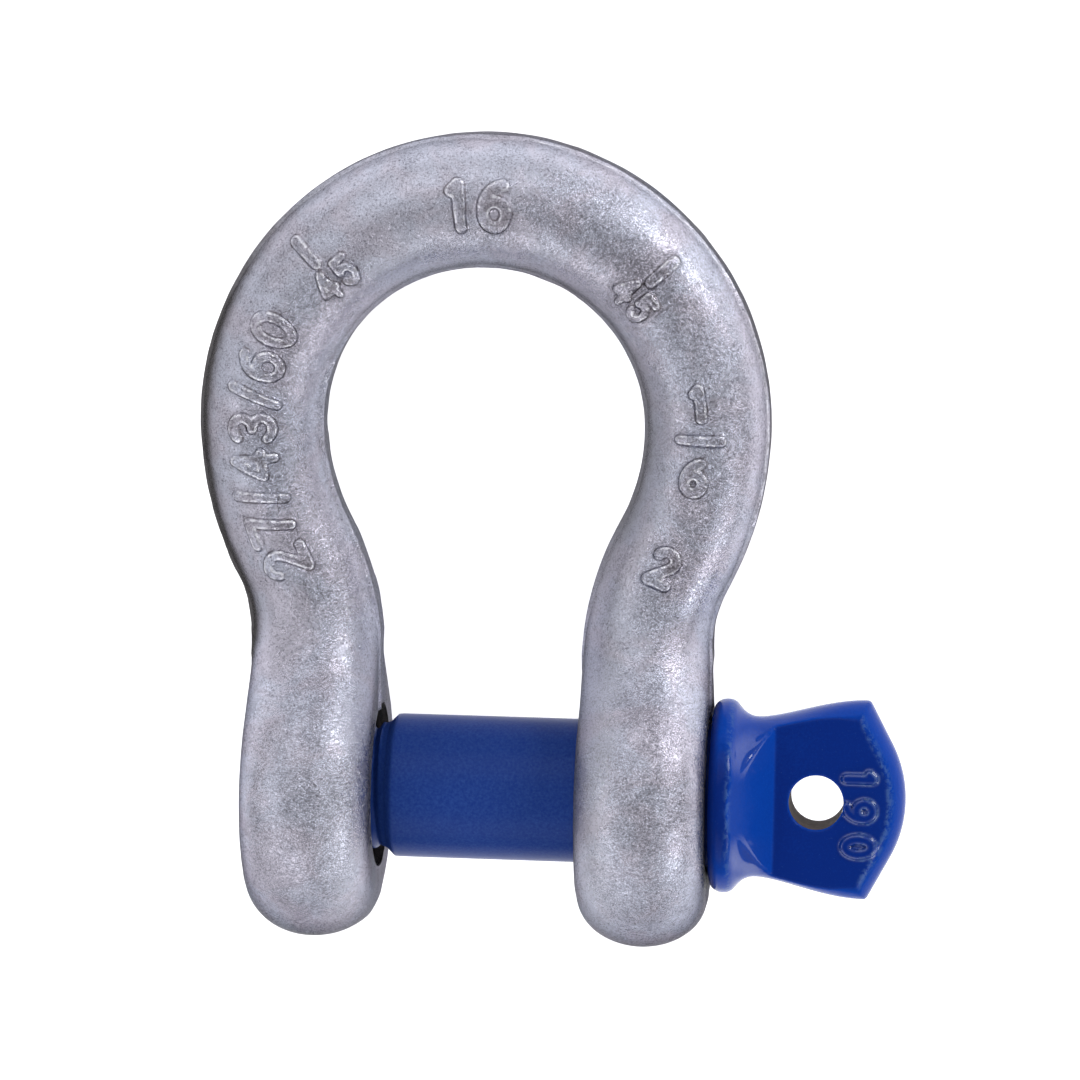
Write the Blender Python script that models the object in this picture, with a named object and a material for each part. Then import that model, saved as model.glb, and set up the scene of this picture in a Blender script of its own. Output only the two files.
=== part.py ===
"""Screw pin bow shackle, 16 mm size: a drop-forged bow and the screw pin across its jaw.

Units are metres and +Z is up.
Both pieces are drawn in the bow's own plane: the pin's axis is X, the crown lies at +Y.
The shackle is then laid down on its two ears and its crown, as it rests on a bench.
"""

import math

import bmesh
import bpy
from mathutils import Vector

MM = 0.001

# Driving sizes of the bow
JAW_OPENING = 27.0 * MM
INSIDE_LENGTH = 60.4 * MM
INSIDE_WIDTH = 42.5 * MM
CROWN_BAR = 17.4 * MM
SIDE_BAR = 16.35 * MM
LEG_BAR = 16.65 * MM
SIDE_RADIUS = 37.0 * MM
SHOULDER_RADIUS = 27.7 * MM
EAR_THICKNESS = 17.0 * MM
EAR_DIAMETER = 41.0 * MM
EAR_EDGE_ROUNDING = 6.5 * MM
EAR_NECK_RADIUS = 18.0 * MM
EAR_BLEND_LENGTH = 28.0 * MM
MOUTH_WIDENING = 2.0 * MM
MOUTH_ANGLE = math.radians(45)
BORE_EDGE_BREAK = 0.6 * MM

# Driving sizes of the screw pin
PIN_DIAMETER = 19.1 * MM
SHANK_SHOULDER = 0.95 * MM
THREAD_END_CHAMFER = 1.4 * MM
THREAD_END_SETBACK = 0.6 * MM
SHANK_END_SETBACK = 2.3 * MM
COLLAR_DIAMETER = 25.8 * MM
COLLAR_WIDTH = 3.6 * MM
COLLAR_ROUNDING = 1.7 * MM
NECK_DIAMETER = 21.3 * MM
NECK_SETBACK = 6.2 * MM
EYE_WIDTH = 26.6 * MM
EYE_THICKNESS = 9.0 * MM
EYE_SHOULDER_SETBACK = 20.8 * MM
EYE_EDGE_WIDTH = 4.2 * MM
EYE_EDGE_CROWN = 0.5 * MM
EYE_HOLE_DIAMETER = 7.2 * MM
EYE_HOLE_SETBACK = 14.0 * MM
FLAT_SETBACK = 8.5 * MM
FLAT_RAMP_ANGLE = math.radians(56)
NOSE_FLANK_ANGLE = math.radians(28)
NOSE_RADIUS = 16.0 * MM
FLARE_FULLNESS = 1.5
PIN_TURN = math.radians(4)

# Clearances
SEAT_GAP = 0.3 * MM
THREAD_GAP = 0.3 * MM
BORE_GAP = 0.6 * MM

# Fineness of the meshes
RING_POINTS = 32
TURNED_POINTS = RING_POINTS + RING_POINTS // 2
STEP = 2.8 * MM
EAR_ROWS = 8
COLLAR_ROUNDING_ROWS = 4
NOSE_ROWS = 5
PLATE_EDGE_SHARE = 0.6
WIDEST_FLAT = 0.75
SHARP_ANGLE = math.radians(32)
CUT_PAST = 2.0 * MM
WELD_DISTANCE = 0.01 * MM

# Sizes that follow
EAR_RADIUS = EAR_DIAMETER / 2
EAR_FLAT_RADIUS = EAR_RADIUS - EAR_EDGE_ROUNDING
PIN_RADIUS = PIN_DIAMETER / 2
THREAD_RADIUS = PIN_RADIUS - SHANK_SHOULDER
JAW_FACE = JAW_OPENING / 2
OUTER_FACE = JAW_FACE + EAR_THICKNESS
LEG_X = JAW_FACE + EAR_THICKNESS / 2
BOW_RADIUS = (INSIDE_WIDTH + SIDE_BAR) / 2
CROWN_Y = PIN_RADIUS + INSIDE_LENGTH + CROWN_BAR / 2
MIDDLE_Y = CROWN_Y - BOW_RADIUS
SHOULDER_TURN = math.acos(
    (LEG_X + SHOULDER_RADIUS + SIDE_RADIUS - BOW_RADIUS) / (SIDE_RADIUS + SHOULDER_RADIUS)
)
LEG_TOP_Y = MIDDLE_Y - (SIDE_RADIUS + SHOULDER_RADIUS) * math.sin(SHOULDER_TURN)
COLLAR_FACE = OUTER_FACE + SEAT_GAP
LAY_ANGLE = math.asin((EAR_RADIUS - CROWN_BAR / 2) / CROWN_Y)


def ease(share):
    """Smooth step from 0 to 1."""
    share = min(max(share, 0.0), 1.0)
    return share * share * (3 - 2 * share)


def mix(start, end, share):
    """Value between two ends, by its share of the way."""
    return start + (end - start) * share


def steps(length):
    """Number of rows that a length takes."""
    return max(2, round(length / STEP))


# Bow


def bow_path():
    """Centreline of the right half from ear to crown: point, outward normal, distance."""
    path = []
    rows = steps(LEG_TOP_Y)
    for row in range(rows):
        height = LEG_TOP_Y * row / rows
        path.append((Vector((LEG_X, height)), Vector((1, 0)), height))
    run = LEG_TOP_Y
    arcs = (
        (Vector((LEG_X + SHOULDER_RADIUS, LEG_TOP_Y)), -SHOULDER_RADIUS, 0.0, -SHOULDER_TURN),
        (Vector((BOW_RADIUS - SIDE_RADIUS, MIDDLE_Y)), SIDE_RADIUS, -SHOULDER_TURN, 0.0),
        (Vector((0, MIDDLE_Y)), BOW_RADIUS, 0.0, math.pi / 2),
    )
    for centre, radius, first, last in arcs:
        length = abs(radius * (last - first))
        rows = steps(length)
        for row in range(rows):
            angle = mix(first, last, row / rows)
            normal = Vector((math.cos(angle), math.sin(angle)))
            path.append((centre + normal * radius, normal, run + length * row / rows))
        run += length
    path.append((Vector((0, CROWN_Y)), Vector((0, 1)), run))
    return path


def bar_radius(run):
    """Half the bar's thickness: full at the legs, slim at the sides, stout at the crown."""
    shoulder_end = LEG_TOP_Y + SHOULDER_RADIUS * SHOULDER_TURN
    side_end = shoulder_end + SIDE_RADIUS * SHOULDER_TURN
    crown = side_end + BOW_RADIUS * math.pi / 2
    if run < side_end:
        share = ease((run - LEG_TOP_Y) / (side_end - LEG_TOP_Y))
        return mix(LEG_BAR, SIDE_BAR, share) / 2
    return mix(SIDE_BAR, CROWN_BAR, ease((run - side_end) / (crown - side_end))) / 2


def ear_half_width(run):
    """Half the ear's breadth above the pin, drawn into the leg by a concave radius."""
    leg = bar_radius(run)
    centre_z = leg + EAR_NECK_RADIUS
    reach = EAR_RADIUS + EAR_NECK_RADIUS
    neck_run = math.sqrt(reach ** 2 - centre_z ** 2)
    if run >= neck_run:
        return leg
    if run <= neck_run * EAR_RADIUS / reach:
        return math.sqrt(EAR_RADIUS ** 2 - run ** 2)
    return centre_z - math.sqrt(EAR_NECK_RADIUS ** 2 - (neck_run - run) ** 2)


def edge_height(past_flat):
    """Share of the full thickness left in a rounded edge, past its flat."""
    past_flat = min(max(past_flat, 0.0), 1.0)
    return math.sqrt(1 - past_flat ** 2)


def leg_ring(run):
    """Section across the leg or bow: offsets across the bar and along Z."""
    width = ear_half_width(run)
    share = ease(run / EAR_BLEND_LENGTH)
    flat = min(EAR_FLAT_RADIUS, WIDEST_FLAT * width) * (1 - share)
    thickness = mix(EAR_THICKNESS / 2, bar_radius(run), share)
    ring = []
    for index in range(RING_POINTS):
        angle = math.tau * index / RING_POINTS
        z = width * math.sin(angle)
        height = thickness * edge_height((abs(z) - flat) / (width - flat))
        ring.append((math.copysign(height, math.cos(angle)), z))
    return ring


def ear_ring(depth):
    """Section across the round ear at a depth below the pin's axis."""
    width = math.sqrt(EAR_RADIUS ** 2 - depth ** 2)
    ring = []
    for index in range(RING_POINTS):
        angle = math.tau * index / RING_POINTS
        z = width * math.sin(angle)
        past_flat = (math.hypot(depth, z) - EAR_FLAT_RADIUS) / EAR_EDGE_ROUNDING
        height = EAR_THICKNESS / 2 * edge_height(past_flat)
        ring.append((math.copysign(height, math.cos(angle)), z))
    return ring


def half_bow_rings():
    """Rings of points from the foot of the right ear up to the crown."""
    rings = []
    for row in range(1, EAR_ROWS):
        depth = EAR_RADIUS * math.cos(math.pi / 2 * row / EAR_ROWS)
        rings.append([Vector((LEG_X + across, -depth, z)) for across, z in ear_ring(depth)])
    for point, normal, run in bow_path():
        ring = []
        for across, z in leg_ring(run):
            place = point + normal * across
            ring.append(Vector((place.x, place.y, z)))
        rings.append(ring)
    return rings


def mirrored(ring):
    """The same ring on the other side of the bow, with its points in matching order."""
    return [Vector((-point.x, point.y, point.z)) for point in ring]


def skin(name, rings, first_pole=None, last_pole=None):
    """Closed mesh through a row of rings, with a pole or a welded end at each end."""
    mesh = bpy.data.meshes.new(name)
    shape = bmesh.new()
    rows = [[shape.verts.new(point) for point in ring] for ring in rings]
    count = len(rows[0])
    for lower, upper in zip(rows, rows[1:]):
        for index in range(count):
            after = (index + 1) % count
            shape.faces.new((lower[index], lower[after], upper[after], upper[index]))
    for pole, row in ((first_pole, rows[0]), (last_pole, rows[-1])):
        if pole is None:
            continue
        tip = shape.verts.new(pole)
        for index in range(count):
            shape.faces.new((row[index], row[(index + 1) % count], tip))
    bmesh.ops.remove_doubles(shape, verts=shape.verts, dist=WELD_DISTANCE)
    bmesh.ops.recalc_face_normals(shape, faces=shape.faces)
    shape.to_mesh(mesh)
    shape.free()
    body = bpy.data.objects.new(name, mesh)
    bpy.context.scene.collection.objects.link(body)
    mesh.shade_smooth()
    mesh.set_sharp_from_angle(angle=SHARP_ANGLE)
    return body


def turned(name, profile, points):
    """Closed body turned about X from a profile of (place along X, radius)."""
    rings = []
    for along, radius in profile:
        ring = []
        for index in range(points):
            angle = math.tau * index / points
            ring.append(Vector((along, radius * math.cos(angle), radius * math.sin(angle))))
        rings.append(ring)
    first = Vector((profile[0][0], 0, 0))
    last = Vector((profile[-1][0], 0, 0))
    return skin(name, rings, first, last)


def cut(body, cutter):
    """Boolean cut that stays on the body; the cutter is kept out of the model."""
    cutter.parent = body
    cutter.hide_render = True
    cutter.display_type = "WIRE"
    modifier = body.modifiers.new(cutter.name, "BOOLEAN")
    modifier.operation = "DIFFERENCE"
    modifier.solver = "EXACT"
    modifier.object = cutter


def make_bow():
    """Bow lofted from ear to ear through its crown, with both bores cut."""
    right = half_bow_rings()
    left = [mirrored(ring) for ring in reversed(right[:-1])]
    foot = Vector((LEG_X, -EAR_RADIUS, 0))
    bow = skin("bow", right + left, foot, Vector((-foot.x, foot.y, foot.z)))

    bore = THREAD_RADIUS + THREAD_GAP
    mouth = bore + MOUTH_WIDENING
    mouth_depth = MOUTH_WIDENING / math.tan(MOUTH_ANGLE)
    threaded_bore = [
        (-OUTER_FACE - CUT_PAST, bore),
        (-JAW_FACE - mouth_depth, bore),
        (-JAW_FACE, mouth),
        (-JAW_FACE + CUT_PAST, mouth),
    ]
    cut(bow, turned("threaded_bore", threaded_bore, TURNED_POINTS))

    bore = PIN_RADIUS + BORE_GAP
    broken = bore + BORE_EDGE_BREAK
    plain_bore = [
        (JAW_FACE - CUT_PAST, broken),
        (JAW_FACE, broken),
        (JAW_FACE + BORE_EDGE_BREAK, bore),
        (OUTER_FACE - BORE_EDGE_BREAK, bore),
        (OUTER_FACE, broken),
        (OUTER_FACE + CUT_PAST, broken),
    ]
    cut(bow, turned("plain_bore", plain_bore, TURNED_POINTS))
    return bow


# Screw pin


def shank_profile():
    """Turned outline of the pin from its threaded end to the back of its collar."""
    thread_end = -OUTER_FACE + THREAD_END_SETBACK
    shank_end = -JAW_FACE + SHANK_END_SETBACK
    profile = [
        (thread_end, THREAD_RADIUS - THREAD_END_CHAMFER),
        (thread_end + THREAD_END_CHAMFER, THREAD_RADIUS),
        (shank_end - SHANK_SHOULDER, THREAD_RADIUS),
        (shank_end, PIN_RADIUS),
        (COLLAR_FACE, PIN_RADIUS),
    ]
    for row in range(COLLAR_ROUNDING_ROWS + 1):
        angle = math.pi / 2 * row / COLLAR_ROUNDING_ROWS
        along = COLLAR_FACE + COLLAR_ROUNDING * (1 - math.cos(angle))
        radius = COLLAR_DIAMETER / 2 - COLLAR_ROUNDING * (1 - math.sin(angle))
        profile.append((along, radius))
    profile.append((COLLAR_FACE + COLLAR_WIDTH, COLLAR_DIAMETER / 2))
    return profile


def nose_length():
    """How far the eye's blunt nose stands out past its two corners."""
    arc_half = NOSE_RADIUS * math.sin(NOSE_FLANK_ANGLE)
    arc_depth = NOSE_RADIUS * (1 - math.cos(NOSE_FLANK_ANGLE))
    return arc_depth + (EYE_WIDTH / 2 - arc_half) * math.tan(NOSE_FLANK_ANGLE)


def eye_outline():
    """Half outline of the head from neck to nose tip, with the way in from its rim."""
    neck_x = COLLAR_FACE + NECK_SETBACK
    corner_x = COLLAR_FACE + EYE_SHOULDER_SETBACK
    corner_lean = math.tan((math.pi / 2 - NOSE_FLANK_ANGLE) / 2)
    outline = []
    rows = 2 * steps(corner_x - neck_x)
    for row in range(rows + 1):
        share = row / rows
        flare = math.sin(math.pi / 2 * share) ** FLARE_FULLNESS
        width = mix(NECK_DIAMETER / 2, EYE_WIDTH / 2, flare)
        rim = Vector((mix(neck_x, corner_x, share), width))
        outline.append((rim, Vector((-corner_lean * share, -1))))
    centre_x = corner_x + nose_length() - NOSE_RADIUS
    for row in range(NOSE_ROWS + 1):
        angle = NOSE_FLANK_ANGLE * (1 - row / NOSE_ROWS)
        outward = Vector((math.cos(angle), math.sin(angle)))
        outline.append((Vector((centre_x, 0)) + outward * NOSE_RADIUS, -outward))
    return outline


def head_ring(rim, inward, edge, height, edge_share):
    """Ring round the pin: a rounded edge at each rim and a flat between them."""
    ring = []
    edge_angle = math.pi / 2 * edge_share
    for index in range(RING_POINTS):
        angle = math.tau * index / RING_POINTS
        fold = math.asin(min(abs(math.sin(angle)), 1.0))
        turn = math.pi / 2 * min(fold / edge_angle, 1.0)
        place = rim + inward * edge * (1 - math.cos(turn))
        if fold > edge_angle:
            place.y *= (math.pi / 2 - fold) / (math.pi / 2 - edge_angle)
        width = math.copysign(max(place.y, 0.0), math.cos(angle))
        z = math.copysign(height * math.sin(turn), math.sin(angle))
        ring.append(Vector((place.x, width, z)))
    return ring


def head_rings():
    """Rings of the forged head, from the round neck to the blunt nose."""
    blank_height = EYE_THICKNESS / 2 + EYE_EDGE_CROWN
    plate_start = COLLAR_FACE + FLAT_SETBACK + EYE_THICKNESS / 2
    outline = eye_outline()
    neck_x = outline[0][0].x
    rings = []
    for rim, inward in outline:
        share = ease((rim.x - neck_x) / (plate_start - neck_x))
        edge = mix(rim.y, EYE_EDGE_WIDTH, share)
        height = mix(rim.y, blank_height, share)
        edge_share = mix(1.0, PLATE_EDGE_SHARE, share)
        rings.append(head_ring(rim, inward, edge, height, edge_share))
    return rings


def press_cutter(name, side):
    """Block that presses one flat of the eye, with its ramp up to the collar."""
    flat_x = COLLAR_FACE + FLAT_SETBACK
    flat_z = EYE_THICKNESS / 2
    top_z = COLLAR_DIAMETER
    ramp_x = flat_x - (top_z - flat_z) / math.tan(FLAT_RAMP_ANGLE)
    far_x = COLLAR_FACE + EYE_SHOULDER_SETBACK + nose_length() + CUT_PAST
    profile = ((flat_x, flat_z), (far_x, flat_z), (far_x, top_z), (ramp_x, top_z))
    shape = bmesh.new()
    face = shape.faces.new([shape.verts.new((x, -EYE_WIDTH, side * z)) for x, z in profile])
    sweep = bmesh.ops.extrude_face_region(shape, geom=[face])
    moved = [item for item in sweep["geom"] if isinstance(item, bmesh.types.BMVert)]
    bmesh.ops.translate(shape, verts=moved, vec=(0, 2 * EYE_WIDTH, 0))
    bmesh.ops.recalc_face_normals(shape, faces=shape.faces)
    mesh = bpy.data.meshes.new(name)
    shape.to_mesh(mesh)
    shape.free()
    cutter = bpy.data.objects.new(name, mesh)
    bpy.context.scene.collection.objects.link(cutter)
    return cutter


def make_screw_pin():
    """Pin lofted from its threaded end to its nose, with its flats and its hole cut."""
    rings = []
    for along, radius in shank_profile():
        rim = Vector((along, radius))
        rings.append(head_ring(rim, Vector((0, -1)), radius, radius, 1.0))
    end = Vector((-OUTER_FACE + THREAD_END_SETBACK, 0, 0))
    pin = skin("screw_pin", rings + head_rings(), first_pole=end)
    cut(pin, press_cutter("press_front", 1))
    cut(pin, press_cutter("press_back", -1))

    hole = EYE_HOLE_DIAMETER / 2
    reach = EYE_THICKNESS
    hole_cutter = turned("eye_hole", [(-reach, hole), (reach, hole)], TURNED_POINTS)
    hole_cutter.rotation_euler.y = math.pi / 2
    hole_cutter.location.x = COLLAR_FACE + EYE_HOLE_SETBACK
    cut(pin, hole_cutter)
    return pin


# Finish and placing


def paint(body, name, colour, metallic, roughness):
    """Give a body its material."""
    material = bpy.data.materials.new(name)
    material.use_nodes = True
    shader = material.node_tree.nodes["Principled BSDF"]
    shader.inputs["Base Color"].default_value = (*colour, 1.0)
    shader.inputs["Metallic"].default_value = metallic
    shader.inputs["Roughness"].default_value = roughness
    body.data.materials.append(material)


def lowest_and_highest(bodies):
    """Corners of the box round the finished bodies, in world space."""
    graph = bpy.context.evaluated_depsgraph_get()
    points = []
    for body in bodies:
        finished = body.evaluated_get(graph)
        points += [finished.matrix_world @ vertex.co for vertex in finished.data.vertices]
    low = Vector([min(point[axis] for point in points) for axis in range(3)])
    high = Vector([max(point[axis] for point in points) for axis in range(3)])
    return low, high


def build():
    """Make both pieces and lay the shackle down."""
    for old in list(bpy.data.objects):
        bpy.data.objects.remove(old)

    bow = make_bow()
    pin = make_screw_pin()
    paint(bow, "galvanised_steel", (0.42, 0.42, 0.45), 0.85, 0.45)
    paint(pin, "blue_enamel", (0.012, 0.060, 0.360), 0.0, 0.28)

    lying = bpy.data.objects.new("lying_plane", None)
    bpy.context.scene.collection.objects.link(lying)
    lying.rotation_euler.x = -LAY_ANGLE
    bow.parent = lying
    pin.parent = lying
    pin.rotation_euler.x = -PIN_TURN

    bpy.context.view_layer.update()
    low, high = lowest_and_highest((bow, pin))
    lying.location = (-(low.x + high.x) / 2, -(low.y + high.y) / 2, -low.z)


build()
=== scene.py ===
"""Screw pin bow shackle: hot-dip galvanised bow, blue enamelled screw pin, plain pale table.

Both pieces are drawn in the bow's own plane, in metres: the pin's axis is X and the crown is
at +Y. lying_plane() lays them down on the ears and the crown, where the frame has them.
"""

import math

import bmesh
import bpy
import numpy as np
from bpy.props import FloatProperty, FloatVectorProperty, IntProperty, PointerProperty
from mathutils import Matrix, Vector, noise


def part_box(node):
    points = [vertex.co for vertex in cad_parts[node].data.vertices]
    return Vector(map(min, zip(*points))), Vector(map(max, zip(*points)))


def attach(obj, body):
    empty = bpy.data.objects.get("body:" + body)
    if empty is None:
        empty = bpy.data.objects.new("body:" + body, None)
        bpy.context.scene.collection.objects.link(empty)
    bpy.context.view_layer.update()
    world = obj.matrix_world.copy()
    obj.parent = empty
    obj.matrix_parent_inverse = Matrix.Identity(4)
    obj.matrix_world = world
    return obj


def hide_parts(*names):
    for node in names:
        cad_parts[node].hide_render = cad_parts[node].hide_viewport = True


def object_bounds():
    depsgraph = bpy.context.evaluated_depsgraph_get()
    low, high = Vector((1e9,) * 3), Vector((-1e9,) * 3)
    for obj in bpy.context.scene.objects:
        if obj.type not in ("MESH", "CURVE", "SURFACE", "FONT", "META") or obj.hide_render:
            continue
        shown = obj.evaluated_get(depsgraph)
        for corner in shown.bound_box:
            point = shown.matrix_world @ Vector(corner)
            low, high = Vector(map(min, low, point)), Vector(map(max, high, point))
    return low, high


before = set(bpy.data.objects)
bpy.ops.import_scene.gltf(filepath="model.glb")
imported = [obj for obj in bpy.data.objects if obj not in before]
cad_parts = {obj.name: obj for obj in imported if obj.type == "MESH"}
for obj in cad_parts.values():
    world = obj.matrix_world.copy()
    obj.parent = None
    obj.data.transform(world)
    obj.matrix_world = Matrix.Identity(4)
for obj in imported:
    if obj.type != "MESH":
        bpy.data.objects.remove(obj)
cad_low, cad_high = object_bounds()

MM = 0.001

bl_info = {
    "name": "Screw Pin Bow Shackle",
    "version": (1, 0, 0),
    "blender": (4, 5, 0),
    "location": "View3D > Sidebar > Shackle",
    "description": "Builds a galvanised bow shackle with a blue enamelled screw pin",
    "category": "Object",
}


# Sizes and finishes that a user may change


def length(name, description, millimetres):
    """A length setting, given in millimetres and held in metres."""
    return FloatProperty(
        name=name,
        description=description,
        default=millimetres * MM,
        min=0.0,
        precision=5,
        unit="LENGTH",
    )


def turn_setting(name, description, degrees):
    """An angle setting, given in degrees and held in radians."""
    return FloatProperty(
        name=name, description=description, default=math.radians(degrees), subtype="ANGLE"
    )


def colour(name, description, value):
    """A colour setting."""
    return FloatVectorProperty(
        name=name, description=description, default=value, subtype="COLOR", min=0.0, max=1.0
    )


def count_setting(name, description, value):
    """A whole number setting, from 1 up."""
    return IntProperty(name=name, description=description, default=value, min=1)


def share_setting(name, description, value, top=1.0):
    """A plain number setting, from 0 to its top."""
    return FloatProperty(name=name, description=description, default=value, min=0.0, max=top)


class BowSettings(bpy.types.PropertyGroup):
    """Sizes of the forged bow."""

    jaw_opening: length("Jaw opening", "Clear width between the two ears", 27.0)
    inside_length: length("Inside length", "From the pin to the inside of the crown", 60.4)
    inside_width: length("Inside width", "Widest opening of the bow", 42.5)
    crown_bar: length("Crown bar", "Thickness of the bar at the crown", 17.4)
    side_bar: length("Side bar", "Thickness of the bar at the sides", 16.35)
    leg_bar: length("Leg bar", "Thickness of the bar above the ears", 16.65)
    side_radius: length("Side radius", "Centreline radius of each side", 37.0)
    shoulder_radius: length("Shoulder radius", "Centreline radius of each shoulder", 27.7)
    ear_thickness: length("Ear thickness", "Thickness of each ear along the pin", 17.0)
    ear_diameter: length("Ear diameter", "Diameter of each round ear", 41.0)
    ear_rounding: length("Ear rounding", "Rounding round the edge of each ear", 6.5)
    neck_radius: length("Ear neck radius", "Radius between ear and leg", 18.0)
    ear_blend: length("Ear blend", "Length in which the ear turns into the round bar", 28.0)
    mouth_widening: length("Mouth widening", "Widening at the threaded bore's mouth", 2.0)
    edge_break: length("Bore edge", "Broken edge of the bores", 0.6)
    bore_gap: length("Bore gap", "Gap round the pin in the plain ear", 0.6)
    thread_gap: length("Thread gap", "Gap round the pin's thread", 0.3)
    fine_step: length("Fine step", "Distance between two rows of the mesh at the marks", 0.34)
    plain_step: length("Plain step", "Distance between two rows of the mesh elsewhere", 0.68)
    ear_rows: count_setting("Ear rows", "Rows round the foot of each ear", 46)
    front_points: count_setting("Front points", "Points of a row in front", 94)
    back_points: count_setting("Back points", "Points of a row behind", 46)
    relief: length("Mark relief", "How far the forged marks stand proud", 0.50)
    flash_width: length("Flash width", "Width of the trimmed flash line", 4.6)
    flash_relief: length("Flash relief", "How far the trimmed flash line stands proud", 0.10)
    # The dull strip also carries painted shade
    dull_and_shaded_width: length("Dull width", "Width of the dull strip along the flash line", 7.4)
    unevenness: length("Unevenness", "Depth of the broad unevenness of the forging", 0.07)
    lumps: length("Zinc lumps", "Depth of the small lumps in the zinc", 0.030)


class PinSettings(bpy.types.PropertyGroup):
    """Sizes of the screw pin."""

    diameter: length("Pin diameter", "Diameter of the plain shank", 19.1)
    shoulder: length("Shoulder", "Step from the shank down to the thread", 0.95)
    end_chamfer: length("End chamfer", "Chamfer on the threaded end", 1.4)
    end_setback: length("End setback", "From the ear's outer face to the pin's end", 0.6)
    shank_setback: length("Shank setback", "From the jaw face to the end of the shank", 2.3)
    pitch: length("Thread pitch", "Distance from one thread to the next", 2.54)
    thread_depth: length("Thread depth", "Depth of the thread", 1.15)
    run_out: length("Thread run-out", "Length in which the thread fades out", 1.8)
    seat_gap: length("Seat gap", "Gap between collar and ear", 0.3)
    collar_diameter: length("Collar diameter", "Diameter of the collar", 25.8)
    collar_width: length("Collar width", "Width of the collar", 3.6)
    collar_rounding: length("Collar rounding", "Rounding of the collar's edge", 1.7)
    collar_shoulder: length("Collar shoulder", "Rounding of the collar towards the neck", 1.5)
    neck_diameter: length("Neck diameter", "Diameter of the neck behind the collar", 21.3)
    neck_setback: length("Neck setback", "From the collar's face to the neck", 6.2)
    eye_width: length("Eye width", "Width of the flat eye", 26.6)
    eye_thickness: length("Eye thickness", "Thickness across the two flats", 9.0)
    eye_shoulder: length("Eye shoulder", "From the collar's face to the eye's corners", 20.8)
    eye_edge: length("Eye edge", "Breadth of the eye's rounded edge", 4.2)
    eye_crown: length("Eye crown", "Height of the rounded edge before the flats are pressed", 0.5)
    hole_diameter: length("Hole diameter", "Hole through the eye", 7.2)
    hole_setback: length("Hole setback", "From the collar's face to the hole", 14.0)
    flat_setback: length("Flat setback", "From the collar's face to the flats", 8.5)
    ramp_angle: turn_setting("Ramp angle", "Slope from the flat up to the collar", 54.5)
    ramp_foot: length("Ramp foot", "Radius between ramp and flat", 0.4)
    nose_angle: turn_setting("Nose angle", "Slope of the blunt nose's flanks", 28)
    nose_radius: length("Nose radius", "Radius of the blunt nose", 16.0)
    flare: share_setting("Flare", "Fullness of the flare from neck to eye", 1.5, 4.0)
    turned: turn_setting("Turn", "How far the pin is screwed round", 4)
    ring_points: count_setting("Ring points", "Points in one row", 144)
    voxel: length("Head fineness", "Size of the head's mesh cells", 0.23)
    softening: count_setting("Softening", "Smoothing steps on the head", 12)
    relief: length("Mark relief", "How far the forged marks stand proud", 0.45)
    stroke: length("Mark stroke", "Width of a forged mark's stroke", 1.3)
    mark_height: length("Mark height", "Height of the digits between their strokes' middles", 3.5)
    mark_setback: length("Mark setback", "From the collar's face to the middle of the digits", 19.7)


class FinishSettings(bpy.types.PropertyGroup):
    """Colours of zinc, enamel, bare steel and the table, and of the painted shade and highlights."""

    zinc_light: colour("Bright zinc", "Clean zinc", (0.53, 0.545, 0.65))
    # Painted highlight on the flash line's edge and the marks' edges, which are partly rubbed bright too,
    # and painted light on the bar's inner sides
    zinc_rubbed_and_highlighted: colour("Rubbed zinc", "Bright zinc on the flash line's edge", (0.88, 0.88, 0.95))
    zinc_warm: colour("Warm zinc", "Clean zinc where it is faintly pink", (0.54, 0.52, 0.61))
    # Also the painted dark reflection down the middle of the shiny zones
    zinc_dark_and_shade: colour("Dull zinc", "Weathered patches of the zinc", (0.14, 0.135, 0.17))
    # Brown stain round the marks, and painted shade in a thin line at their foot
    zinc_stain_and_shade: colour("Zinc stain", "Brownish tint in the corners of the marks", (0.17, 0.14, 0.14))
    # Painted shade on the bar's sides along the flash line
    zinc_edge_shade: colour("Zinc seam", "Dull zinc along the flash line", (0.13, 0.125, 0.13))
    # Painted shade inside the bores
    bore: colour("Bore", "Oily bare steel in the bores", (0.055, 0.05, 0.05))
    zinc_rim: colour("Zinc rim", "Tint of the zinc seen at a glancing angle", (0.02, 0.02, 0.02))
    enamel: colour("Enamel", "Blue enamel", (0.0022, 0.023, 0.21))
    # Also the painted highlights on the collar's edge, the eye's edge and the digits' edges
    dust: colour("Dust", "Pale dust and fine scratches on the enamel", (0.10, 0.20, 0.42))
    # Painted light on the head's sloping faces, and paler random tone
    enamel_pale_and_lit: colour("Thin enamel", "Enamel where it is thin over an edge", (0.004, 0.068, 0.48))
    steel_light: colour("Scraped steel", "Steel scraped bright in the hole", (0.16, 0.12, 0.10))
    steel: colour("Bare steel", "Steel where there is no enamel", (0.040, 0.028, 0.024))
    table: colour("Table", "The pale table", (0.86, 0.86, 0.87))


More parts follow.
